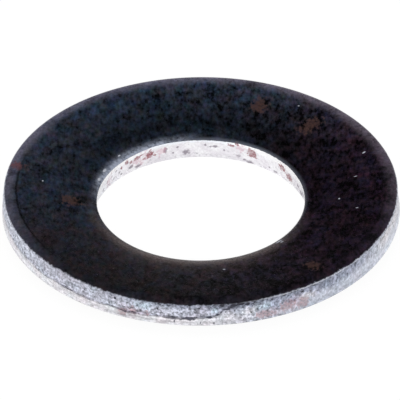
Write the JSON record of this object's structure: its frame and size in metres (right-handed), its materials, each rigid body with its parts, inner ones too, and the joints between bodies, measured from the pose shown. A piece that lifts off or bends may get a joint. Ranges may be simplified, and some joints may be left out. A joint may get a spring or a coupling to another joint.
{
  "type": "washer",
  "caption": "Stamped steel washer, slightly dished, with black scale on its faces, bright sheared edges and a plain round bore.",
  "frame": {"origin": "on the axis of the bore, in the plane of the seat that the washer rests on", "axes": "+Z along the bore's axis, out of the hollow, scale-covered face; -Y towards the viewer of the picture and +X to their right"},
  "size_m": [0.02, 0.02, 0.0019],
  "materials": {
    "scaled_steel": "black mill scale with small rust stains on the faces, bare sheared steel with rust spots on the rim and in the bore"
  },
  "bodies": {
    "root": {"washer": "scaled_steel"}
  },
  "joints": []
}
